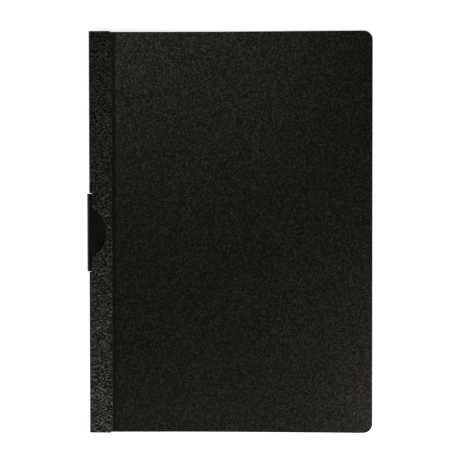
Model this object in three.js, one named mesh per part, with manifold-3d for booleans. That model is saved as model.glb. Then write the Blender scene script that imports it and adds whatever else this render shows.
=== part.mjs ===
// A4 clip folder, closed and lying on its back: two grained covers welded into a folded spine strip,
// and a painted spring-steel clip that slides out through a slot in the strip's fold.
// Millimetres. +X runs from the spine to the opening edge, +Y up the page and +Z up from the table.

import * as THREE from "three";
import { mergeVertices } from "three/addons/utils/BufferGeometryUtils.js";
import Module from "manifold-3d";

const wasm = await Module();
wasm.setup();

// Spine strip: one sheet folded round the spine, with a front flap and a back flap
const stripLength = 310;
const stripThickness = 0.45;
const spineHeight = 6;
const flapWidth = 17.8;
const flapCornerRadius = 2.3;
const foldRadius = 0.9;

// Slot for the clip and half-moon thumb cut-outs, in both flaps
const slotSetback = 2.2;
const slotEndClearance = 0.4;
const thumbRadius = 22;
const thumbDepth = 13.2;
const thumbFillet = 1.6;

// Covers: width is from the spine to the opening edge
const coverWidth = 217.9;
const coverEndInset = 0.65;
const coverThickness = 0.4;
const coverCornerRadius = 7;

// Crease of each cover, beside the flap, and the flange that is welded under the flap
const creaseOffset = 0.8;
const creaseHalfGap = 0.3;
const flangeOverlap = 4.1;

// The front cover sags onto the back one over this run, and lies this far above it
const sagRun = 132;
const coverRestGap = 0.3;

// Clip: reaches are measured from the spine's outer face
const clipLength = 60;
const clipThickness = 0.5;
const clipProud = 1.9;
const clipClearance = 0.35;
const pinchReach = 12;
const pinchGap = 0.4;
const pinchRadius = 2.5;
const lipReach = 16.5;
const lipGap = 1.7;
const earDepth = 4;
const earLength = 11;
const clipCornerRadius = 1.2;

// Fineness of round shapes
const foldSteps = 6;
const bendSteps = 20;
const pinchSteps = 4;
const sagSteps = 14;
const planSteps = 24;

// Places that follow from the sizes above
const middleHeight = spineHeight / 2;
const coverLength = stripLength - 2 * coverEndInset;
const creaseX = flapWidth + creaseOffset;
const coverStart = creaseX + creaseHalfGap;
const flangeStart = flapWidth - flangeOverlap;
const flangeWidth = creaseX - creaseHalfGap - flangeStart;
const clipHeight = spineHeight - 2 * stripThickness - 2 * clipClearance;
const cutOverrun = 5;

const stripColour = new THREE.Color(0x24241f);
const coverColour = new THREE.Color(0x1f1c18);
const clipColour = new THREE.Color(0x131511);

// Points of a round bend in a section, from one angle to another about a centre
function arc(centreX, centreY, radius, from, to, steps) {
  return Array.from({ length: steps + 1 }, (_, i) => {
    const angle = from + ((to - from) * i) / steps;
    return new THREE.Vector2(centreX + radius * Math.cos(angle), centreY + radius * Math.sin(angle));
  });
}

// One side of a sheet: its middle line moved sideways by a distance, with mitred corners
function offsetLine(middle, distance) {
  const normals = middle.slice(1).map((point, i) => {
    const along = point.clone().sub(middle[i]).normalize();
    return new THREE.Vector2(-along.y, along.x);
  });
  return middle.map((point, i) => {
    const before = normals[Math.max(i - 1, 0)];
    const after = normals[Math.min(i, normals.length - 1)];
    const mitre = before.clone().add(after).normalize();
    return point.clone().addScaledVector(mitre, distance / mitre.dot(after));
  });
}

// A sheet of one thickness: its middle line drawn in X and Z, run along Y and centred on the folder's middle
function bentSheet(middle, thickness, length) {
  const right = offsetLine(middle, -thickness / 2);
  const left = offsetLine(middle, thickness / 2).reverse();
  const section = new THREE.Shape([...right, ...left]);
  const sheet = new THREE.ExtrudeGeometry(section, { depth: length, bevelEnabled: false, steps: 1 });
  sheet.rotateX(Math.PI / 2);
  sheet.translate(0, length / 2, 0);
  return sheet;
}

// An upright block of a plan outline, tall enough to trim any piece of the folder
function planBlock(outline) {
  const depth = spineHeight + 2 * cutOverrun;
  const block = new THREE.ExtrudeGeometry(outline, { depth, bevelEnabled: false, curveSegments: planSteps });
  block.translate(0, 0, -cutOverrun);
  return block;
}

function toSolid(geometry) {
  const bare = geometry.clone();
  bare.deleteAttribute("normal");
  bare.deleteAttribute("uv");
  const merged = mergeVertices(bare, 1e-5);
  const vertProperties = new Float32Array(merged.attributes.position.array);
  const triVerts = new Uint32Array(merged.index.array);
  return new wasm.Manifold(new wasm.Mesh({ numProp: 3, vertProperties, triVerts }));
}

function toGeometry(solid) {
  const { vertProperties, triVerts } = solid.getMesh();
  const geometry = new THREE.BufferGeometry();
  geometry.setAttribute("position", new THREE.BufferAttribute(new Float32Array(vertProperties), 3));
  geometry.setIndex(new THREE.BufferAttribute(new Uint32Array(triVerts), 1));
  return geometry;
}

// A bent sheet trimmed to a plan outline
function trimmed(sheet, outline) {
  return toGeometry(toSolid(sheet).intersect(toSolid(planBlock(outline))));
}

function named(name, geometry, colour, roughness, metalness) {
  const mesh = new THREE.Mesh(geometry, new THREE.MeshStandardMaterial({ color: colour, roughness, metalness }));
  mesh.name = name;
  return mesh;
}

// Plan of the strip: square at the spine, round corners on the flaps, the slot and the thumb cut-out left open
function stripPlan() {
  const half = stripLength / 2;
  const slotHalf = clipLength / 2 + slotEndClearance;
  const thumbX = thumbDepth - thumbRadius;
  const filletX = slotSetback + thumbFillet;
  const filletY = Math.sqrt((thumbRadius + thumbFillet) ** 2 - (filletX - thumbX) ** 2);
  const touch = Math.atan2(filletY, filletX - thumbX);
  const plan = new THREE.Shape();
  plan.moveTo(-cutOverrun, -half);
  plan.lineTo(flapWidth - flapCornerRadius, -half);
  plan.absarc(flapWidth - flapCornerRadius, flapCornerRadius - half, flapCornerRadius, -Math.PI / 2, 0);
  plan.absarc(flapWidth - flapCornerRadius, half - flapCornerRadius, flapCornerRadius, 0, Math.PI / 2);
  plan.lineTo(-cutOverrun, half);
  plan.lineTo(-cutOverrun, slotHalf);
  plan.lineTo(slotSetback, slotHalf);
  plan.absarc(filletX, filletY, thumbFillet, Math.PI, Math.PI + touch);
  plan.absarc(thumbX, 0, thumbRadius, touch, -touch, true);
  plan.absarc(filletX, -filletY, thumbFillet, Math.PI - touch, Math.PI);
  plan.lineTo(slotSetback, -slotHalf);
  plan.lineTo(-cutOverrun, -slotHalf);
  return plan;
}

// Folded strip: back flap, spine wall and front flap in one
function spineWrap() {
  const bend = foldRadius - stripThickness / 2;
  const low = foldRadius;
  const high = spineHeight - foldRadius;
  const middle = [
    new THREE.Vector2(flapWidth + cutOverrun, stripThickness / 2),
    ...arc(foldRadius, low, bend, -Math.PI / 2, -Math.PI, foldSteps),
    ...arc(foldRadius, high, bend, Math.PI, Math.PI / 2, foldSteps),
    new THREE.Vector2(flapWidth + cutOverrun, spineHeight - stripThickness / 2),
  ];
  const strip = trimmed(bentSheet(middle.reverse(), stripThickness, stripLength), stripPlan());
  return named("spine_wrap", strip, stripColour, 0.5, 0);
}

// Plan of a cover: square at the crease, round corners at the opening edge
function coverPlan() {
  const half = coverLength / 2;
  const round = coverCornerRadius;
  const plan = new THREE.Shape();
  plan.moveTo(coverStart, -half);
  plan.lineTo(coverWidth - round, -half);
  plan.absarc(coverWidth - round, round - half, round, -Math.PI / 2, 0);
  plan.absarc(coverWidth - round, half - round, round, 0, Math.PI / 2);
  plan.lineTo(coverStart, half);
  return plan;
}

// Middle of the back cover: it leaves the back flap's inner face and comes down to the table at its far edge
function backMiddle(x) {
  const share = (coverWidth - x) / (coverWidth - coverStart);
  return stripThickness * share + coverThickness / 2;
}

// Middle of the front cover: a sheet that hangs from its crease and comes to lie along the back cover
function frontMiddle(x) {
  const lying = backMiddle(x) + coverThickness + coverRestGap;
  const start = spineHeight - stripThickness - coverThickness / 2;
  const drop = start - backMiddle(coverStart) - coverThickness - coverRestGap;
  const share = Math.max(0, 1 - (x - coverStart) / sagRun);
  return lying + drop * (2 * share ** 3 - share ** 4);
}

function frontCover() {
  const sagging = Array.from({ length: sagSteps + 1 }, (_, i) => coverStart + (sagRun * i) / sagSteps);
  const middle = [...sagging, coverWidth + cutOverrun].map((x) => new THREE.Vector2(x, frontMiddle(x)));
  const cover = trimmed(bentSheet(middle, coverThickness, coverLength + 2 * cutOverrun), coverPlan());
  return named("front_cover", cover, coverColour, 0.55, 0);
}

function backCover() {
  const middle = [coverStart, coverWidth + cutOverrun].map((x) => new THREE.Vector2(x, backMiddle(x)));
  const cover = trimmed(bentSheet(middle, coverThickness, coverLength + 2 * cutOverrun), coverPlan());
  return named("back_cover", cover, coverColour, 0.55, 0);
}

// Edge of a cover sheet that is welded to the inner face of a flap
function hingeFlange(name, height) {
  const flange = new THREE.BoxGeometry(flangeWidth, coverLength, coverThickness);
  const mesh = named(name, flange, coverColour, 0.55, 0);
  mesh.position.set(flangeStart + flangeWidth / 2, 0, height);
  return mesh;
}

// Plan of the clip: as wide as its slot at the bend, with ears at the lips that stay behind the slot's ends
function clipPlan() {
  const half = clipLength / 2;
  const ear = half + earLength;
  const earStart = lipReach - earDepth;
  const round = clipCornerRadius;
  const plan = new THREE.Shape();
  plan.moveTo(-clipProud - cutOverrun, -half);
  plan.lineTo(earStart - round, -half);
  plan.absarc(earStart - round, -half - round, round, Math.PI / 2, 0, true);
  plan.lineTo(earStart, round - ear);
  plan.absarc(earStart + round, round - ear, round, Math.PI, Math.PI * 1.5);
  plan.absarc(lipReach - round, round - ear, round, -Math.PI / 2, 0);
  plan.absarc(lipReach - round, ear - round, round, 0, Math.PI / 2);
  plan.absarc(earStart + round, ear - round, round, Math.PI / 2, Math.PI);
  plan.lineTo(earStart, half + round);
  plan.absarc(earStart - round, half + round, round, 0, -Math.PI / 2, true);
  plan.lineTo(-clipProud - cutOverrun, half);
  return plan;
}

// Middle line of the clip's upper jaw, from the top of the bend to past the lip, above the clip's own middle
function jawLine() {
  const bendRadius = clipHeight / 2 - clipThickness / 2;
  const bendX = clipHeight / 2 - clipProud;
  const pinch = pinchGap / 2 + clipThickness / 2;
  const lip = lipGap / 2 + clipThickness / 2;
  const run = pinchReach - bendX;
  // The jaw leaves the bend on a tangent and passes round the pinch on a tangent, one circle under it, one over it
  const radii = bendRadius + pinchRadius;
  const rise = pinch + pinchRadius;
  const across = Math.atan2(rise, run);
  const lean = Math.asin(radii / Math.hypot(run, rise)) - across;
  const flare = Math.atan2(lip - pinch, lipReach - pinchReach);
  const tangent = Math.PI / 2 - lean;
  return {
    bend: arc(bendX, 0, bendRadius, tangent, 2 * Math.PI - tangent, bendSteps),
    pinch: arc(pinchReach, rise, pinchRadius, -Math.PI / 2 - lean, -Math.PI / 2 + flare, pinchSteps),
    end: new THREE.Vector2(lipReach + cutOverrun, pinch + (lipReach + cutOverrun - pinchReach) * Math.tan(flare)),
  };
}

// Spring-steel clip: a round bend, two jaws that meet near the lips, and lips that open again
function clip() {
  const { bend, pinch, end } = jawLine();
  const upper = [end, ...pinch.reverse()];
  const lower = upper.map((point) => new THREE.Vector2(point.x, -point.y)).reverse();
  const middle = [...upper, ...bend, ...lower].map((point) => new THREE.Vector2(point.x, point.y + middleHeight));
  const sheet = bentSheet(middle, clipThickness, clipLength + 2 * (earLength + cutOverrun));
  return named("clip", trimmed(sheet, clipPlan()), clipColour, 0.35, 0.6);
}

const flangeHeight = spineHeight - stripThickness - coverThickness / 2;
const folder = new THREE.Group();
folder.add(
  spineWrap(),
  hingeFlange("front_hinge_flange", flangeHeight),
  hingeFlange("back_hinge_flange", spineHeight - flangeHeight),
  frontCover(),
  backCover(),
  clip(),
);

// The origin is under the middle of the closed folder, on the table
folder.position.x = (clipProud - coverWidth) / 2;

export default folder;
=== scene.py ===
"""Looks of an A4 clip folder: grained covers, a coarse-grained spine strip and a painted spring clip.

Lengths are in metres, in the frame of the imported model: +X runs from the spine to the opening edge,
+Y up the page.
"""

import math

import bpy
import numpy as np
from bpy.props import FloatProperty, FloatVectorProperty, PointerProperty
from mathutils import Euler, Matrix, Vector


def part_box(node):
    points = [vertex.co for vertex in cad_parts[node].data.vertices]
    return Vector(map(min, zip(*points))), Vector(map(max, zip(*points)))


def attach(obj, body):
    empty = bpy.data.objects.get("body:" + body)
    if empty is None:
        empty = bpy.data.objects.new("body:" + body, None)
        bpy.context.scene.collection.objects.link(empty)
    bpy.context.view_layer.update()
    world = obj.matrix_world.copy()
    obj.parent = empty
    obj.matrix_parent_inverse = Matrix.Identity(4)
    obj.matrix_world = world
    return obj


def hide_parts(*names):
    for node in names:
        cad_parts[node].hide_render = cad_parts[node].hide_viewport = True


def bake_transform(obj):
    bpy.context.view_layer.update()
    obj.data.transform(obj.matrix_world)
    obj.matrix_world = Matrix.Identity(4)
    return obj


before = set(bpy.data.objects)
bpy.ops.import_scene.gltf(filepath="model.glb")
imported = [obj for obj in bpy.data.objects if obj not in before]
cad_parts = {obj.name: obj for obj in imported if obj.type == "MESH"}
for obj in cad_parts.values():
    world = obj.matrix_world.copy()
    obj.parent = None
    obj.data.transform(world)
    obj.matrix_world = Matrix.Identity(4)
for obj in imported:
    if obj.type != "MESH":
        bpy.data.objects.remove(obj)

bl_info = {
    "name": "Clip folder",
    "version": (1, 0, 0),
    "blender": (4, 5, 0),
    "location": "View3D > Sidebar > Folder",
    "description": "Builds the visible sheets, the clip and the stage of an A4 clip folder",
    "category": "Object",
}

MM = 0.001

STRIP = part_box("spine_wrap")
FRONT_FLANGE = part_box("front_hinge_flange")
BACK_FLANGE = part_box("back_hinge_flange")
FRONT_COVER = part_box("front_cover")
BACK_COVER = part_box("back_cover")
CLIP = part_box("clip")

SPINE_X = STRIP[0].x
FLAP_EDGE_X = STRIP[1].x
MIDDLE_Z = (STRIP[0].z + STRIP[1].z) / 2
STRIP_THICKNESS = BACK_FLANGE[0].z - STRIP[0].z
COVER_THICKNESS = BACK_FLANGE[1].z - BACK_FLANGE[0].z
CLIP_HEIGHT = CLIP[1].z - CLIP[0].z


def length(name, default, description):
    return FloatProperty(
        name=name, description=description, default=default, min=0, unit="LENGTH", precision=5
    )


def colour(name, default, description):
    return FloatVectorProperty(
        name=name, description=description, default=default, size=3, min=0, max=1, subtype="COLOR"
    )


def share(name, default, description):
    return FloatProperty(name=name, description=description, default=default, min=0, max=1)


def angle(name, degrees, description):
    return FloatProperty(
        name=name, description=description, default=math.radians(degrees), subtype="ANGLE"
    )


class StripSettings(bpy.types.PropertyGroup):
    """Sizes and colours of the folded spine strip"""

    fold_radius: length("Fold radius", 0.9 * MM, "Outer radius of the two folds at the spine")
    corner_radius: length("Flap corner radius", 2.3 * MM, "Radius of the flaps' outer corners")
    slot_length: length("Slot length", 60.8 * MM, "Length of the clip's slot along the spine")
    slot_setback: length("Slot setback", 2.2 * MM, "How far the slot reaches onto each flap")
    thumb_radius: length("Thumb cut radius", 22 * MM, "Radius of the half-moon cut-outs")
    thumb_depth: length("Thumb cut depth", 13.2 * MM, "Reach of the half-moon cut-outs from the spine")
    thumb_fillet: length("Thumb cut fillet", 1.6 * MM, "Radius where the cut-outs run into the slot")
    edge_rounding: length("Edge rounding", 0.09 * MM, "Width of the softened cut edges")
    step: length("Mesh step", 0.8 * MM, "Spacing of the mesh lines")
    base: colour("Colour", (0.0056, 0.0060, 0.0044), "Colour of the grained sheet")
    inner: colour("Inner colour", (0.014, 0.014, 0.0125), "Colour of the plain inner side")
    sheen: colour("Sheen", (0.95, 1.0, 0.76), "Colour of the reflections")
    grain_width: length("Grain width", 0.8 * MM, "Width of one pebble of the coarse grain")
    grain_depth: length("Grain depth", 0.22 * MM, "Depth of the creases between the pebbles")
    roughness: share("Roughness", 0.24, "Roughness of the sheet")


class CoverSettings(bpy.types.PropertyGroup):
    """Sizes and colours of the two cover sheets"""

    corner_radius: length("Corner radius", 7 * MM, "Radius of the corners at the opening edge")
    sag_run: length("Sag run", 132 * MM, "From its crease to where the front cover lies on the back one")
    groove_width: length("Crease width", 2.2 * MM, "Width of the pressed crease")
    groove_shoulder: length("Crease shoulder", 0.6 * MM, "Width of each side of the pressed crease")
    groove_depth: length("Crease depth", 0.13 * MM, "Depth of the pressed crease")
    edge_rounding: length("Edge rounding", 0.06 * MM, "Width of the softened cut edges")
    step: length("Mesh step", 1.6 * MM, "Spacing of the mesh lines")
    base: colour("Colour", (0.0058, 0.0048, 0.0032), "Colour of the grained outer side")
    tint: colour("Second colour", (0.0044, 0.0042, 0.0034), "Colour that clouds the outer side")
    crease: colour("Crease colour", (0.0102, 0.0105, 0.0078), "Colour of the smooth crease")
    inner: colour("Inner colour", (0.018, 0.017, 0.015), "Colour of the plain inner side")
    cut: colour("Cut edge", (0.085, 0.052, 0.030), "Colour of the board where it was cut")
    sheen: colour("Sheen", (1.0, 0.94, 0.74), "Colour of the reflections")
    grain_width: length("Grain width", 0.78 * MM, "Width of one cell of the fine grain")
    grain_depth: length("Grain depth", 0.05 * MM, "Depth of the fine grain")
    hair_length: length("Hair length", 9 * MM, "Length of the fine streaks in the grain")
    roughness: share("Roughness", 0.34, "Roughness of the grained outer side")


class ClipSettings(bpy.types.PropertyGroup):
    """Sizes and colour of the spring clip"""

    body_length: length("Length", 60 * MM, "Length of the clip along the spine, without its ears")
    thickness: length("Thickness", 0.5 * MM, "Thickness of the spring steel")
    pinch_reach: length("Pinch reach", 12 * MM, "Where the jaws come closest, from the spine")
    pinch_gap: length("Pinch gap", 0.4 * MM, "Gap between the empty jaws")
    pinch_radius: length("Pinch radius", 2.5 * MM, "Bend radius at the pinch")
    lip_gap: length("Lip gap", 1.7 * MM, "Gap between the lips")
    ear_depth: length("Ear depth", 4 * MM, "Depth of the ears, back from the lips")
    corner_radius: length("Corner radius", 1.2 * MM, "Radius of the ears' outer corners")
    edge_rounding: length("Edge rounding", 0.14 * MM, "Width of the softened cut edges")
    paint: colour("Paint", (0.0044, 0.0052, 0.0040), "Colour of the paint")
    roughness: share("Roughness", 0.34, "Roughness of the paint")


class StageSettings(bpy.types.PropertyGroup):
    """Camera, lamps and floor"""

    distance: length("Camera distance", 1.0, "From the camera to the point that it is aimed at")
    tilt_x: angle("Tilt X", -1.384, "Camera tilt about X")
    tilt_y: angle("Tilt Y", 3.192, "Camera tilt about Y")
    tilt_z: angle("Roll", -0.069, "Camera roll")
    lens: FloatProperty(
        name="Lens", description="Focal length in mm on a 36 mm sensor", default=101.87, min=1
    )
    floor: colour("Floor", (0.8, 0.8, 0.8), "Colour of the table")
    horizon: share("Horizon", 1.0, "Brightness of the studio round the horizon")
    ceiling: share("Ceiling", 0.03, "Brightness of the studio overhead")


class FolderSettings(bpy.types.PropertyGroup):
    """Everything that can be set on the clip folder"""

    strip: PointerProperty(type=StripSettings)
    cover: PointerProperty(type=CoverSettings)
    clip: PointerProperty(type=ClipSettings)
    stage: PointerProperty(type=StageSettings)


# Sheets from grids of points

EDGE_LINE = 0.25 * MM  # first mesh line inside a cut edge
SHARP_ANGLE = math.radians(55)  # edges sharper than this are softened


def spaced(low, high, step):
    """Evenly spaced values with one more line close to each end."""
    count = max(2, round((high - low) / step))
    middle = np.linspace(low, high, count + 1)[1:-1]
    return np.concatenate([[low, low + EDGE_LINE], middle, [high - EDGE_LINE, high]])


def arc(centre, radius, start, stop, count):
    angles = np.linspace(start, stop, count)
    return np.stack([centre[0] + radius * np.cos(angles), centre[1] + radius * np.sin(angles)], 1)


def left_normals(line):
    """Unit normals on the left of a line drawn in X and Z."""
    along = np.gradient(line, axis=0)
    along /= np.linalg.norm(along, axis=1, keepdims=True)
    return np.stack([-along[:, 1], along[:, 0]], 1)


def run_lengths(line):
    steps = np.linalg.norm(np.diff(line, axis=0), axis=1)
    return np.concatenate([[0], np.cumsum(steps)])


def corner_pull(distance, radius):
    """How far a round corner draws an edge in, at a distance from the edge that it meets."""
    inside = np.clip(radius - distance, 0, radius)
    return radius - np.sqrt(radius**2 - inside**2)


def sheet_faces(kept):
    """Quads of both sides and the cut edges of a grid's kept cells, and which of them are cut edges."""
    rows, columns = kept.shape[0] + 1, kept.shape[1] + 1
    under = rows * columns
    r, c = np.nonzero(kept)
    corners = [r * columns + c, r * columns + c + 1, (r + 1) * columns + c + 1, (r + 1) * columns + c]
    faces = [np.stack(corners, 1), np.stack(corners[::-1], 1) + under]
    padded = np.pad(kept, 1)
    neighbours = [(-1, 0, 0, 1), (0, 1, 1, 2), (1, 0, 2, 3), (0, -1, 3, 0)]
    for down, across, a, b in neighbours:
        bare = ~padded[r + 1 + down, c + 1 + across]
        first, second = corners[a][bare], corners[b][bare]
        faces.append(np.stack([first, first + under, second + under, second], 1))
    sides = 2 * len(r)
    faces = np.concatenate(faces)
    return faces, np.arange(len(faces)) >= sides


def sheet(name, middle, normal, over, under, kept, place, carried, materials):
    """A closed sheet about a grid of middle points.

    place and the carried numbers are for the materials, of which the last one goes on the cut edges.
    """
    points = np.concatenate([
        (middle + normal * over[..., None]).reshape(-1, 3),
        (middle - normal * under[..., None]).reshape(-1, 3),
    ])
    faces, cut = sheet_faces(kept)
    used, numbered = np.unique(faces, return_inverse=True)
    faces = numbered.reshape(faces.shape)
    mesh = bpy.data.meshes.new(name)
    mesh.from_pydata(points[used].tolist(), [], faces.tolist())
    last = len(materials) - 1
    mesh.polygons.foreach_set("material_index", (cut * last).astype(np.int32))
    count = middle.shape[0] * middle.shape[1]
    store(mesh, "place", "FLOAT_VECTOR", np.concatenate([place.reshape(-1, 3)] * 2)[used])
    for key, values in carried.items():
        store(mesh, key, "FLOAT", np.concatenate([values.ravel()] * 2)[used])
    store(mesh, "outer", "FLOAT", (used < count).astype(np.float32))
    for material in materials:
        mesh.materials.append(material)
    mesh.shade_smooth()
    mesh.validate()
    piece = bpy.data.objects.new(name, mesh)
    bpy.context.collection.objects.link(piece)
    return piece


def store(mesh, name, kind, values):
    attribute = mesh.attributes.new(name, kind, "POINT")
    key = "vector" if kind == "FLOAT_VECTOR" else "value"
    attribute.data.foreach_set(key, values.astype(np.float32).ravel())


def soften_edges(piece, width):
    """Rounds the cut edges and applies the result to the mesh."""
    bevel = piece.modifiers.new("soft_edges", "BEVEL")
    bevel.width = width
    bevel.segments = 2
    bevel.limit_method = "ANGLE"
    bevel.angle_limit = SHARP_ANGLE
    bevel.use_clamp_overlap = True
    bpy.context.view_layer.update()
    softened = piece.evaluated_get(bpy.context.evaluated_depsgraph_get())
    finished = bpy.data.meshes.new_from_object(softened)
    piece.modifiers.clear()
    rough = piece.data
    piece.data = finished
    bpy.data.meshes.remove(rough)
    finished.name = piece.name


# Materials

WANDER_SCALE = 0.5  # scale of the soft noise that draws the grain aside, in waves to a cell
WANDER_REACH = 0.4  # how far that noise draws it, in cells
CELL_BLUR = 0.2  # how far neighbouring cells run into each other
CELL_FALL = 2.4  # how steeply a cell falls off from its middle
CELL_SPREAD = 0.5  # how much lower the lowest cells are than the highest
INNER_ROUGHER = 0.25  # how much rougher the plain inner side of a cover is
CREASE_GLOSS = 0.08  # gloss of the smooth crease, which the grain adds its own to


class Shader:
    """A short way to write a material's nodes."""

    def __init__(self, name):
        self.material = bpy.data.materials.new(name)
        self.material.use_nodes = True
        self.tree = self.material.node_tree
        self.tree.nodes.clear()

    def node(self, kind, values=None, **settings):
        made = self.tree.nodes.new(kind)
        for key, value in settings.items():
            setattr(made, key, value)
        for key, value in (values or {}).items():
            self.put(made.inputs[key], value)
        return made

    def put(self, socket, value):
        if isinstance(value, bpy.types.NodeSocket):
            self.tree.links.new(value, socket)
        else:
            socket.default_value = value

    def value(self, name):
        """A number carried by the mesh."""
        return self.node("ShaderNodeAttribute", attribute_name=name).outputs["Fac"]

    def place(self, scale=(1, 1, 1), turn=0.0, offset=(0, 0, 0)):
        """The place on the flat sheet, in metres, stretched and turned."""
        flat = self.node("ShaderNodeAttribute", attribute_name="place").outputs["Vector"]
        values = {"Vector": flat, "Scale": scale, "Rotation": (0, 0, turn), "Location": offset}
        return self.node("ShaderNodeMapping", values).outputs["Vector"]

    def maths(self, operation, first, second=0.0, third=0.0):
        made = self.node("ShaderNodeMath", operation=operation)
        for socket, value in zip(made.inputs, (first, second, third)):
            self.put(socket, value)
        return made.outputs[0]

    def add(self, first, second):
        made = self.node("ShaderNodeVectorMath", operation="ADD")
        self.put(made.inputs[0], first)
        self.put(made.inputs[1], second)
        return made.outputs[0]

    def noise(self, vector, scale, detail=3.0, roughness=0.55):
        values = {"Vector": vector, "Scale": scale, "Detail": detail, "Roughness": roughness}
        return self.node("ShaderNodeTexNoise", values)

    def wander(self, stretch, width):
        """The stretched place, drawn aside by a soft noise so that the cells on it look grown."""
        soft = self.noise(self.place(), WANDER_SCALE / width, 2.0).outputs["Color"]
        values = {"Vector": soft, "Scale": WANDER_REACH * width}
        shift = self.node("ShaderNodeVectorMath", values, operation="SCALE")
        return self.add(self.place(stretch), shift.outputs[0])

    def pebbles(self, place, width):
        """Domed cells of this width, of unequal height, and a number of its own for each cell."""
        values = {"Vector": place, "Scale": 1 / width, "Randomness": 1.0}
        kind = self.node("ShaderNodeTexVoronoi", values, feature="F1").outputs["Color"]
        chance = self.node("ShaderNodeSeparateColor", {"Color": kind}).outputs["Red"]
        values["Smoothness"] = CELL_BLUR
        away = self.node("ShaderNodeTexVoronoi", values, feature="SMOOTH_F1").outputs["Distance"]
        dome = self.maths("MULTIPLY_ADD", self.maths("MULTIPLY", away, away), -CELL_FALL, 1.0)
        return self.maths("MULTIPLY", dome, self.maths("MULTIPLY_ADD", chance, -CELL_SPREAD, 1.0)), chance

    def ramp(self, value, low, high, to_low=0.0, to_high=1.0):
        values = {"Value": value, "From Min": low, "From Max": high, "To Min": to_low, "To Max": to_high}
        made = self.node("ShaderNodeMapRange", values, interpolation_type="SMOOTHSTEP")
        return made.outputs["Result"]

    def mix(self, factor, first, second):
        made = self.node("ShaderNodeMix", data_type="RGBA")
        self.put(made.inputs["Factor"], factor)
        self.put(made.inputs[6], first)
        self.put(made.inputs[7], second)
        return made.outputs[2]

    def bump(self, height, depth):
        values = {"Height": height, "Distance": depth, "Strength": 1.0}
        return self.node("ShaderNodeBump", values).outputs["Normal"]

    def finish(self, colour, roughness, normal, gloss=0.5, **fixed):
        """The surface itself. Numbers that are the same all over stay on the sockets."""
        surface = self.node("ShaderNodeBsdfPrincipled")
        for key, value in fixed.items():
            surface.inputs[key.replace("_", " ")].default_value = value
        self.put(surface.inputs["Base Color"], colour)
        self.put(surface.inputs["Roughness"], roughness)
        self.put(surface.inputs["Normal"], normal)
        self.put(surface.inputs["Specular IOR Level"], gloss)
        output = self.node("ShaderNodeOutputMaterial")
        self.tree.links.new(surface.outputs[0], output.inputs["Surface"])
        return self.material


def rgba(colour, brightness=1):
    return (*(c * brightness for c in colour), 1.0)


def strip_material(settings):
    """Coarse pebbled grain on satin black sheet, plain inside."""
    s = Shader("coarse_grained_sheet")
    place = s.wander((0.75, 1.2, 1.0), settings.grain_width)
    dome, chance = s.pebbles(place, settings.grain_width)
    swell = s.noise(s.place((0.7, 1.2, 1.0)), 0.5 / settings.grain_width, 1.0).outputs["Fac"]
    fine = s.noise(s.place(), 3.2 / settings.grain_width, 3.0).outputs["Fac"]
    fine_share, swell_share = 0.08, 0.5
    swollen = s.maths("MULTIPLY_ADD", swell, swell_share, dome)
    height = s.maths("MULTIPLY_ADD", fine, fine_share, swollen)
    outer = s.value("outer")
    plain = s.maths("MULTIPLY_ADD", fine, fine_share, s.maths("MULTIPLY", height, outer))
    # Partly painted glints: each cell takes a random tone between a darker and a lighter copy of the
    # base. The lighter cells, which are also the glossier ones, stand in for the glints of the grain.
    dull = rgba(settings.base, 0.6)
    lighter_tone_and_glint = rgba(settings.base, 1.4)
    colour = s.mix(outer, rgba(settings.inner), s.mix(chance, dull, lighter_tone_and_glint))
    gloss = s.ramp(chance, 0.3, 1.0, 0.08, 1.0)
    normal = s.bump(plain, settings.grain_depth)
    return s.finish(colour, settings.roughness, normal, gloss, Specular_Tint=rgba(settings.sheen))


def cover_material(settings):
    """Fine leather grain with faint hair-like streaks, clouded between two near-blacks, plain inside."""
    s = Shader("fine_grained_board")
    place = s.wander((1.1, 0.82, 1.0), settings.grain_width)
    dome, chance = s.pebbles(place, settings.grain_width)
    hairs = None
    thin_and_long = (1.4 / settings.grain_width, 1 / settings.hair_length, 1.0)
    for turn, offset in ((0.3, 0.0), (-0.6, 0.31)):
        along = s.place(thin_and_long, turn, (offset, offset, 0))
        streak = s.ramp(s.noise(along, 1.0, 1.0).outputs["Fac"], 0.68, 0.8)
        hairs = streak if hairs is None else s.maths("MAXIMUM", hairs, streak)
    fine = s.noise(s.place(), 3.0 / settings.grain_width, 3.0).outputs["Fac"]
    hair_share = 0.15
    height = s.maths("MULTIPLY_ADD", fine, 0.2, s.maths("MULTIPLY_ADD", hairs, hair_share, dome))
    outer = s.value("outer")
    grain = s.value("grain")
    lift = s.maths("MULTIPLY", s.maths("MULTIPLY", height, grain), outer)
    plain = s.maths("MULTIPLY_ADD", fine, 0.05, lift)
    cloud = s.ramp(s.noise(s.place(), 18.0, 3.0).outputs["Fac"], 0.35, 0.65)
    outside = s.mix(cloud, rgba(settings.base), rgba(settings.tint))
    # Partly painted glints: cells and streaks take random tones between a darkened copy of the clouded
    # colour and a lighter copy of the base. The lighter, glossier ones stand in for the glints of the
    # grain.
    dull = s.mix(0.3, outside, (0, 0, 0, 1))
    lighter_tone_and_glint = rgba(settings.base, 1.8)
    tone_and_glint_share = s.maths("MULTIPLY_ADD", hairs, hair_share, s.maths("MULTIPLY", chance, chance))
    grained = s.mix(grain, rgba(settings.crease), s.mix(tone_and_glint_share, dull, lighter_tone_and_glint))
    face = s.mix(s.ramp(s.value("rim"), 0.0, 0.3), grained, rgba(settings.cut))
    colour = s.mix(outer, rgba(settings.inner), face)
    shine = s.ramp(s.maths("MULTIPLY_ADD", hairs, 0.4, chance), 0.42, 1.0, 0.2, 0.98)
    gloss = s.maths("MULTIPLY_ADD", shine, grain, CREASE_GLOSS)
    inside = s.maths("SUBTRACT", 1.0, outer)
    rough = s.maths("MULTIPLY_ADD", inside, INNER_ROUGHER, settings.roughness)
    normal = s.bump(plain, settings.grain_depth)
    return s.finish(colour, rough, normal, gloss, Specular_Tint=rgba(settings.sheen))


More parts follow.
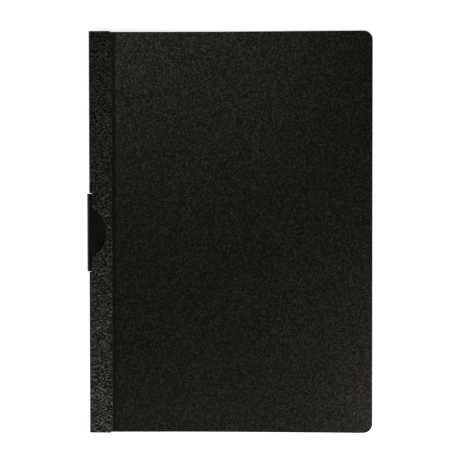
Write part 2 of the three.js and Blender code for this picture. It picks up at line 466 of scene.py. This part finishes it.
def cut_material(name, cut, face):
    """The cut edge of a sheet: fibres in fine layers, some of them in the face's darker colour."""
    s = Shader(name)
    layers = s.noise(s.place((900, 260, 1.0)), 1.0, 4.0, 0.7).outputs["Fac"]
    colour = s.mix(s.ramp(layers, 0.3, 0.7), rgba(face), rgba(cut))
    return s.finish(colour, 0.8, s.bump(layers, 0.03 * MM), IOR=1.45)


def clip_material(settings):
    """Smooth dark paint on steel: faint orange peel and a little wear in its gloss."""
    s = Shader("painted_spring_steel")
    peel = s.noise(s.place(), 900.0, 3.0).outputs["Fac"]
    cloud = s.noise(s.place((1.0, 0.25, 1.0)), 160.0, 4.0).outputs["Fac"]
    colour = s.mix(s.ramp(cloud, 0.3, 0.75), rgba(settings.paint), rgba(settings.paint, 1.35))
    rough = s.ramp(cloud, 0.25, 0.75, settings.roughness - 0.05, settings.roughness + 0.08)
    return s.finish(colour, rough, s.bump(peel, 0.006 * MM), 0.25)


# Spine strip

ROUNDING_ERROR = 1e-9
FOLD_POINTS = 9
WALL_POINTS = 8
SETBACK_POINTS = 4

def thumb_edge(y, settings):
    """X of the flap's inner edge within the slot: the setback line, a fillet and the half-moon."""
    centre = settings.thumb_depth - settings.thumb_radius
    fillet_x = settings.slot_setback + settings.thumb_fillet
    reach = settings.thumb_radius + settings.thumb_fillet
    fillet_y = math.sqrt(reach**2 - (fillet_x - centre) ** 2)
    touch_y = fillet_y * settings.thumb_radius / reach
    away = np.abs(y)
    moon = centre + np.sqrt(np.clip(settings.thumb_radius**2 - away**2, 0, None))
    fillet = fillet_x - np.sqrt(np.clip(settings.thumb_fillet**2 - (fillet_y - away) ** 2, 0, None))
    edge = np.where(away < touch_y, moon, fillet)
    return SPINE_X + np.where(away < fillet_y, edge, settings.slot_setback)


def strip_rows(settings):
    end = STRIP[1].y
    half_slot = settings.slot_length / 2
    corner = end - settings.corner_radius
    fine = settings.step / 2
    upper = [spaced(half_slot, corner, settings.step)[:-1], spaced(corner, end, fine / 2)]
    upper = np.unique(np.round(np.concatenate(upper), 7))
    return np.concatenate([-upper[::-1], spaced(-half_slot, half_slot, fine)[1:-1], upper])


def fold_line(settings):
    """Middle line of the strip, round the spine from the slot's edge on one flap to the other."""
    bend = settings.fold_radius - STRIP_THICKNESS / 2
    centre_x = SPINE_X + settings.fold_radius
    low = STRIP[0].z + settings.fold_radius
    high = STRIP[1].z - settings.fold_radius
    setback = SPINE_X + settings.slot_setback
    back = arc((centre_x, low), bend, -math.pi / 2, -math.pi, FOLD_POINTS)
    front = arc((centre_x, high), bend, math.pi, math.pi / 2, FOLD_POINTS)
    wall = np.linspace(back[-1], front[0], WALL_POINTS)[1:-1]
    flat = np.linspace(setback, centre_x, SETBACK_POINTS)[:-1]
    under = np.stack([flat, np.full(len(flat), STRIP[0].z + STRIP_THICKNESS / 2)], 1)
    over = np.stack([flat[::-1], np.full(len(flat), STRIP[1].z - STRIP_THICKNESS / 2)], 1)
    return np.concatenate([under, back, wall, front, over])


def build_strip(settings):
    y = strip_rows(settings)
    fold = fold_line(settings)
    flap = spaced(0.0, FLAP_EDGE_X - SPINE_X - settings.slot_setback, settings.step)[1:]
    flap /= flap[-1]
    half_slot = settings.slot_length / 2
    start = np.where(np.abs(y) < half_slot, thumb_edge(y, settings), SPINE_X + settings.slot_setback)
    stop = FLAP_EDGE_X - corner_pull(STRIP[1].y - np.abs(y), settings.corner_radius)
    flap_x = start[:, None] + (stop - start)[:, None] * flap
    rows, columns = len(y), len(fold) + 2 * len(flap)
    middle = np.zeros((rows, columns, 3))
    middle[..., 1] = y[:, None]
    side = len(flap)
    middle[:, :side, 0] = flap_x[:, ::-1]
    middle[:, :side, 2] = STRIP[0].z + STRIP_THICKNESS / 2
    middle[:, side:-side, 0] = fold[:, 0]
    middle[:, side:-side, 2] = fold[:, 1]
    middle[:, -side:, 0] = flap_x
    middle[:, -side:, 2] = STRIP[1].z - STRIP_THICKNESS / 2
    in_slot = np.abs(y) < half_slot - ROUNDING_ERROR
    middle[in_slot, side, 0] = start[in_slot]
    middle[in_slot, -side - 1, 0] = start[in_slot]
    normal = np.zeros_like(middle)
    normal[:, :side, 2] = -1
    normal[:, -side:, 2] = 1
    normal[:, side:-side, 0] = left_normals(fold)[:, 0]
    normal[:, side:-side, 2] = left_normals(fold)[:, 1]
    middle_y = (y[1:] + y[:-1]) / 2
    kept = np.ones((rows - 1, columns - 1), bool)
    kept[np.ix_(np.abs(middle_y) < half_slot, range(side, columns - side - 1))] = False
    half = np.full((rows, columns), STRIP_THICKNESS / 2)
    unrolled = np.zeros_like(middle)
    straight = run_lengths(fold)
    unrolled[:, :side, 0] = -(flap_x[:, ::-1] - SPINE_X)
    unrolled[:, side:-side, 0] = straight - settings.slot_setback
    unrolled[:, -side:, 0] = flap_x - SPINE_X - 2 * settings.slot_setback + straight[-1]
    unrolled[..., 1] = y[:, None]
    edge_material = cut_material("cut_sheet_edge", settings.inner, settings.base)
    materials = [strip_material(settings), edge_material]
    piece = sheet("spine_strip", middle, normal, half, half, kept, unrolled, {}, materials)
    soften_edges(piece, settings.edge_rounding)
    return piece


# Covers

WELD_LINES = 5
WELD_END = 0.5 * MM  # how far short of the crease's shoulder the welded lines stop
CREASE_LINES = 30
CREASE_BEFORE = 0.3 * MM
CREASE_AFTER = 0.4 * MM
CORNER_STEP = 0.5 * MM
CORNER_SHARE = 0.1  # share of a cover's width over which its round corners draw the mesh in
INNER_CREASE = 0.35  # depth of the crease on the inner side, as a share of the outer side's
SIDE_APART = 0.01  # sets the grain of the two covers apart

def cover_columns(settings):
    """X of the mesh lines across a cover, from its welded edge to the opening edge."""
    crease = (FRONT_FLANGE[1].x, FRONT_COVER[0].x)
    near = settings.groove_width / 2 + settings.groove_shoulder
    middle = sum(crease) / 2 + near / 2
    welded = np.linspace(FRONT_FLANGE[0].x, middle - near - WELD_END, WELD_LINES)
    groove = np.linspace(middle - near - CREASE_BEFORE, middle + near + CREASE_AFTER, CREASE_LINES)
    panel = spaced(groove[-1], FRONT_COVER[1].x, settings.step)[1:]
    return np.unique(np.concatenate([welded, groove, crease, panel]))


def cover_rows(settings):
    end = FRONT_COVER[1].y
    corner = end - settings.corner_radius
    straight = np.linspace(0, corner, round(corner / settings.step))[1:]
    half = np.concatenate([straight, spaced(corner, end, CORNER_STEP)[1:]])
    return np.concatenate([-half[::-1], [0], half])


def back_middle(x):
    """Middle height of the back cover, which comes down from the back flap's inner face to the table."""
    part = np.clip((BACK_COVER[1].x - x) / (BACK_COVER[1].x - BACK_COVER[0].x), 0, 1)
    return STRIP_THICKNESS * part + COVER_THICKNESS / 2


def front_middle(x, settings):
    """Middle height of the front cover, which hangs from its crease and comes to lie on the back one."""
    rest_gap = FRONT_COVER[0].z - COVER_THICKNESS
    lying = back_middle(x) + COVER_THICKNESS + rest_gap
    start = FRONT_FLANGE[1].z - COVER_THICKNESS / 2
    drop = start - back_middle(FRONT_COVER[0].x) - COVER_THICKNESS - rest_gap
    part = np.clip(1 - (x - FRONT_COVER[0].x) / settings.sag_run, 0, 1)
    return lying + drop * (2 * part**3 - part**4)


def groove_share(x, settings):
    """1 at the bottom of the pressed crease, 0 away from it. The crease starts at the flap's edge."""
    first = FLAP_EDGE_X - settings.groove_shoulder / 2
    last = first + settings.groove_width + 2 * settings.groove_shoulder
    rise = np.clip((x - first) / settings.groove_shoulder, 0, 1)
    fall = np.clip((last - x) / settings.groove_shoulder, 0, 1)
    both = rise * fall
    return both * both * (3 - 2 * both)


def build_cover(name, heights, outward, settings):
    """One cover sheet, from its welded edge to the opening edge.

    outward is 1 for the front cover and -1 for the back one.
    """
    x = cover_columns(settings)
    y = cover_rows(settings)
    line = np.stack([x, heights], 1)
    upward = left_normals(line)
    rows, columns = len(y), len(x)
    share_x = (x - x[0]) / (x[-1] - x[0])
    edge = x[-1] - corner_pull(FRONT_COVER[1].y - np.abs(y), settings.corner_radius)
    beyond = np.clip((share_x - (1 - CORNER_SHARE)) / CORNER_SHARE, 0, 1)
    middle = np.zeros((rows, columns, 3))
    middle[..., 0] = x + (edge - x[-1])[:, None] * beyond
    middle[..., 1] = y[:, None]
    middle[..., 2] = np.interp(middle[..., 0], x, heights)
    if outward < 0:
        middle = middle[::-1]
    normal = np.zeros_like(middle)
    normal[..., 0] = upward[:, 0] * outward
    normal[..., 2] = upward[:, 1] * outward
    groove = groove_share(x, settings)
    half = COVER_THICKNESS / 2
    over = np.broadcast_to(half - settings.groove_depth * groove, (rows, columns))
    under = np.broadcast_to(half + settings.groove_depth * INNER_CREASE * groove, (rows, columns))
    place = np.zeros_like(middle)
    place[..., :2] = middle[..., :2]
    place[..., 2] = SIDE_APART * outward
    grain = np.broadcast_to(1 - groove, (rows, columns))
    kept = np.ones((rows - 1, columns - 1), bool)
    materials = [cover_material(settings), cut_material("cut_board_edge", settings.cut, settings.base)]
    rim = np.zeros((rows, columns))
    rim[[0, -1]] = 1
    rim[:, -1] = 1
    piece = sheet(name, middle, normal, over, under, kept, place, {"grain": grain, "rim": rim}, materials)
    soften_edges(piece, settings.edge_rounding)
    return piece


# Clip

CLOSE = 0.02 * MM  # a mesh line nearer than this is moved, and none is added
BEND_POINTS = 41
STRAIGHT_POINTS = 10
PINCH_POINTS = 9
LIP_POINTS = 9
EAR_STEP = 1.5 * MM
BODY_STEP = 2.0 * MM

def jaw_line(settings):
    """Middle line of the clip in X and Z, from the lower lip round the bend to the upper lip."""
    half = settings.thickness / 2
    bend_radius = CLIP_HEIGHT / 2 - half
    bend_x = CLIP[0].x + CLIP_HEIGHT / 2
    pinch = settings.pinch_gap / 2 + half
    lip = settings.lip_gap / 2 + half
    run = SPINE_X + settings.pinch_reach - bend_x
    rise = pinch + settings.pinch_radius
    radii = bend_radius + settings.pinch_radius
    lean = math.asin(radii / math.hypot(run, rise)) - math.atan2(rise, run)
    flare = math.atan2(lip - pinch, CLIP[1].x - SPINE_X - settings.pinch_reach)
    top = math.pi / 2 - lean
    bend = arc((bend_x, 0), bend_radius, 2 * math.pi - top, top, BEND_POINTS)
    down = -math.pi / 2
    turn = arc((bend_x + run, rise), settings.pinch_radius, down - lean, down + flare, PINCH_POINTS)
    straight = np.linspace(bend[-1], turn[0], STRAIGHT_POINTS)[1:-1]
    end = np.array([CLIP[1].x, turn[-1][1] + (CLIP[1].x - turn[-1][0]) * math.tan(flare)])
    flared = np.linspace(turn[-1], end, LIP_POINTS)[1:]
    upper = np.concatenate([straight, turn, flared])
    upper = with_column(upper, CLIP[1].x - settings.ear_depth)
    lower = upper[::-1] * (1, -1)
    return np.concatenate([lower, bend, upper]) + (0, MIDDLE_Z)


def with_column(line, x):
    """The line with a point at this X: one that is close is moved there, or else one more is put in."""
    at = np.searchsorted(line[:, 0], x)
    near = [i for i in (min(at, len(line) - 1), at - 1) if abs(line[i, 0] - x) < CLOSE]
    if near:
        line = line.copy()
        line[near[0], 0] = x
        return line
    z = np.interp(x, line[:, 0], line[:, 1])
    return np.insert(line, at, (x, z), axis=0)


def build_clip(settings):
    line = jaw_line(settings)
    ear_x = CLIP[1].x - settings.ear_depth
    half = settings.body_length / 2
    ear = CLIP[1].y
    outer = spaced(half, ear, EAR_STEP)[1:]
    rows = np.concatenate([-outer[::-1], spaced(-half, half, BODY_STEP), outer])
    nearest = np.minimum(CLIP[1].x - line[:, 0], line[:, 0] - ear_x)
    reach = ear - corner_pull(np.clip(nearest, 0, None), settings.corner_radius)
    beyond = np.clip(np.abs(rows) - half, 0, None) / (ear - half)
    stretch = half + (reach - half)[None, :] * beyond[:, None]
    y = np.where((beyond > 0)[:, None], np.sign(rows)[:, None] * stretch, rows[:, None])
    middle = np.zeros((len(rows), len(line), 3))
    middle[..., 0] = line[:, 0]
    middle[..., 1] = y
    middle[..., 2] = line[:, 1]
    normal = np.zeros_like(middle)
    normals = left_normals(line)
    normal[..., 0] = normals[:, 0]
    normal[..., 2] = normals[:, 1]
    middle_row = np.abs(rows[1:] + rows[:-1]) / 2 > half
    middle_x = (line[1:, 0] + line[:-1, 0]) / 2
    kept = ~(middle_row[:, None] & (middle_x < ear_x)[None, :])
    place = np.zeros_like(middle)
    place[..., 0] = run_lengths(line)
    place[..., 1] = y
    steel = np.full(middle.shape[:2], settings.thickness / 2)
    piece = sheet("spring_clip", middle, normal, steel, steel, kept, place, {}, [clip_material(settings)])
    soften_edges(piece, settings.edge_rounding)
    return piece


# Stage

SOFTBOX_WIDTH = 0.22
SOFTBOX_HEIGHT = 0.18
TABLE_HALF_WIDTH = 3.0
TABLE_DROP = 0.05 * MM  # keeps the table's top clear of the back flap
TABLE_GLOW = 0.8  # whitens the table for the camera, in gloss and through glass, and lights nothing else
HORIZON_BAND = (0.1, 0.36)  # heights (sine of elevation) between which the studio darkens
CAMERA_AIM = (-0.26 * MM, 2.64 * MM, 0)


def softbox(name, place, aim, power):
    lamp = bpy.data.lights.new(name, "AREA")
    lamp.shape = "RECTANGLE"
    lamp.size = SOFTBOX_WIDTH
    lamp.size_y = SOFTBOX_HEIGHT
    lamp.energy = power
    made = bpy.data.objects.new(name, lamp)
    made.location = place
    made.rotation_euler = (Vector(aim) - Vector(place)).to_track_quat("-Z", "Y").to_euler()
    bpy.context.collection.objects.link(made)


LAMPS = (  # name, place, aim, power
    ("upper_left_softbox", (-0.30, 0.38, 1.00), (-0.03, 0.08, 0), 0.9),
    ("lower_left_softbox", (-0.10, -0.50, 0.20), (-0.05, -0.10, 0), 1.45),
    ("lower_right_softbox", (0.33, -0.45, 0.60), (0.09, -0.13, 0), 0.62),
    ("right_softbox", (0.45, -0.25, 0.55), (0.09, -0.08, 0), 0.95),
    ("left_softbox", (-0.55, 0.0, 0.25), (-0.05, 0.0, 0), 0.4),
)


def build_floor(settings):
    side = TABLE_HALF_WIDTH
    corners = [(-side, -side), (side, -side), (side, side), (-side, side)]
    mesh = bpy.data.meshes.new("table_top")
    mesh.from_pydata([(x, y, -TABLE_DROP) for x, y in corners], [], [(0, 1, 2, 3)])
    floor = bpy.data.objects.new("table_top", mesh)
    bpy.context.collection.objects.link(floor)
    s = Shader("white_table")
    paint = s.node("ShaderNodeBsdfDiffuse", {"Color": rgba(settings.floor)})
    glow = s.node("ShaderNodeEmission", {"Strength": TABLE_GLOW})
    both = s.node("ShaderNodeAddShader")
    s.put(both.inputs[0], paint.outputs[0])
    s.put(both.inputs[1], glow.outputs[0])
    ray = s.node("ShaderNodeLightPath").outputs
    seen = s.maths("MAXIMUM", ray["Is Camera Ray"], ray["Is Glossy Ray"])
    seen = s.maths("MAXIMUM", seen, ray["Is Transmission Ray"])
    mixed = s.node("ShaderNodeMixShader", {"Fac": seen})
    s.put(mixed.inputs[1], paint.outputs[0])
    s.put(mixed.inputs[2], both.outputs[0])
    output = s.node("ShaderNodeOutputMaterial")
    s.put(output.inputs["Surface"], mixed.outputs[0])
    mesh.materials.append(s.material)


def build_world(settings):
    """A studio that is white round the horizon and dark overhead."""
    world = bpy.data.worlds.new("studio")
    bpy.context.scene.world = world
    world.use_nodes = True
    tree = world.node_tree
    tree.nodes.clear()
    place = tree.nodes.new("ShaderNodeTexCoord")
    parts = tree.nodes.new("ShaderNodeSeparateXYZ")
    height = tree.nodes.new("ShaderNodeMapRange")
    height.interpolation_type = "SMOOTHSTEP"
    height.inputs["From Min"].default_value = HORIZON_BAND[0]
    height.inputs["From Max"].default_value = HORIZON_BAND[1]
    height.inputs["To Min"].default_value = settings.horizon
    height.inputs["To Max"].default_value = settings.ceiling
    back = tree.nodes.new("ShaderNodeBackground")
    back.inputs["Color"].default_value = (1, 1, 1, 1)
    output = tree.nodes.new("ShaderNodeOutputWorld")
    tree.links.new(place.outputs["Generated"], parts.inputs[0])
    tree.links.new(parts.outputs["Z"], height.inputs["Value"])
    tree.links.new(height.outputs["Result"], back.inputs["Strength"])
    tree.links.new(back.outputs[0], output.inputs["Surface"])


def build_camera(settings):
    data = bpy.data.cameras.new("camera")
    data.sensor_width = 36
    data.lens = settings.lens
    data.clip_start = 0.01
    data.clip_end = 50
    camera = bpy.data.objects.new("camera", data)
    camera.rotation_euler = Euler((settings.tilt_x, settings.tilt_y, settings.tilt_z))
    back = camera.rotation_euler.to_matrix() @ Vector((0, 0, settings.distance))
    camera.location = Vector(CAMERA_AIM) + back
    bpy.context.collection.objects.link(camera)
    bpy.context.scene.camera = camera


# Operators

class FOLDER_OT_stage(bpy.types.Operator):
    """Make the camera, the lamps, the studio and the table"""

    bl_idname = "folder.stage"
    bl_label = "Stage"

    def execute(self, context):
        settings = context.scene.clip_folder.stage
        build_camera(settings)
        build_world(settings)
        build_floor(settings)
        for lamp in LAMPS:
            softbox(*lamp)
        context.scene.view_settings.view_transform = "Standard"
        return {"FINISHED"}


class FOLDER_OT_strip(bpy.types.Operator):
    """Make the folded spine strip with its slot and thumb cut-outs"""

    bl_idname = "folder.strip"
    bl_label = "Spine strip"

    def execute(self, context):
        piece = build_strip(context.scene.clip_folder.strip)
        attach(piece, "spine")
        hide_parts("spine_wrap")
        return {"FINISHED"}


class FOLDER_OT_covers(bpy.types.Operator):
    """Make the front and back cover sheets, each bending at its crease"""

    bl_idname = "folder.covers"
    bl_label = "Covers"

    def execute(self, context):
        settings = context.scene.clip_folder.cover
        x = cover_columns(settings)
        creases = (FRONT_FLANGE[1].x, FRONT_COVER[0].x)
        flange_z = (FRONT_FLANGE[0].z + FRONT_FLANGE[1].z) / 2
        front = np.where(x < creases[1], flange_z, front_middle(x, settings))
        back = np.where(x < creases[1], 2 * MIDDLE_Z - flange_z, back_middle(x))
        for name, heights, outward in (("front", front, 1), ("back", back, -1)):
            piece = build_cover(f"{name}_cover_sheet", heights, outward, settings)
            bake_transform(piece)
            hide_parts(f"{name}_cover", f"{name}_hinge_flange")
        return {"FINISHED"}


class FOLDER_OT_clip(bpy.types.Operator):
    """Make the painted spring clip"""

    bl_idname = "folder.clip"
    bl_label = "Spring clip"

    def execute(self, context):
        piece = build_clip(context.scene.clip_folder.clip)
        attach(piece, "clip")
        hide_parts("clip")
        return {"FINISHED"}


class FOLDER_PT_panel(bpy.types.Panel):
    """Lists the settings and the operators of the clip folder"""

    bl_label = "Clip folder"
    bl_idname = "FOLDER_PT_panel"
    bl_space_type = "VIEW_3D"
    bl_region_type = "UI"
    bl_category = "Folder"

    def draw(self, context):
        for operator in OPERATORS:
            self.layout.operator(operator.bl_idname)
        settings = context.scene.clip_folder
        for group in (settings.strip, settings.cover, settings.clip, settings.stage):
            box = self.layout.box()
            for name in group.bl_rna.properties.keys():
                if name not in ("rna_type", "name"):
                    box.prop(group, name)


GROUPS = (StripSettings, CoverSettings, ClipSettings, StageSettings, FolderSettings)
OPERATORS = (FOLDER_OT_stage, FOLDER_OT_strip, FOLDER_OT_covers, FOLDER_OT_clip)


def register():
    for item in (*GROUPS, *OPERATORS, FOLDER_PT_panel):
        bpy.utils.register_class(item)
    bpy.types.Scene.clip_folder = PointerProperty(type=FolderSettings)


def unregister():
    del bpy.types.Scene.clip_folder
    for item in reversed((*GROUPS, *OPERATORS, FOLDER_PT_panel)):
        bpy.utils.unregister_class(item)


def main():
    register()
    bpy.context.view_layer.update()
    bpy.ops.folder.stage()
    bpy.ops.folder.strip()
    bpy.ops.folder.covers()
    bpy.ops.folder.clip()


if __name__ == "__main__":
    main()
